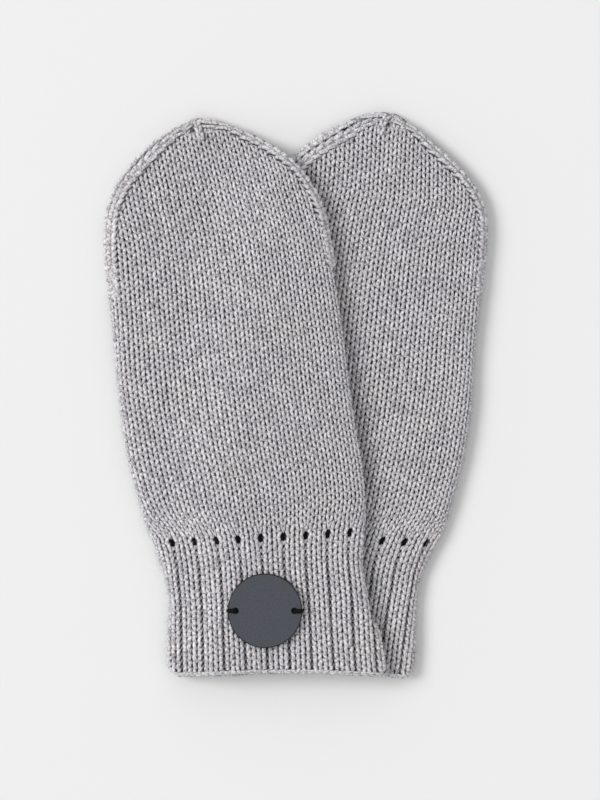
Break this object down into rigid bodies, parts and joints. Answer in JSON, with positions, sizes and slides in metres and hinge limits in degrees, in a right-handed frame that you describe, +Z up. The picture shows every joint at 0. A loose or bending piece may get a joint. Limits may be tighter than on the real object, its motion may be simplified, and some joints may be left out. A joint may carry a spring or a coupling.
{
  "type": "pair of mittens",
  "caption": "Pair of small thumbless knitted mittens laid flat, one lapped over the other, with ribbed cuffs, a row of eyelets at each wrist and a round leather tag.",
  "frame": {"origin": "on the surface that the pair lies on, under the middle of its bounding box", "axes": "+Y from the hems to the finger tips, +X towards the mitten that lies underneath, +Z up"},
  "size_m": [0.1027, 0.1529, 0.0119],
  "materials": {
    "yarn": "matt, marled mid-grey wool",
    "leather": "matt slate grey"
  },
  "bodies": {
    "root": {"left_hand": "yarn", "left_cuff": "yarn", "right_hand": "yarn", "right_cuff": "yarn", "leather_tag": "leather"}
  },
  "joints": []
}
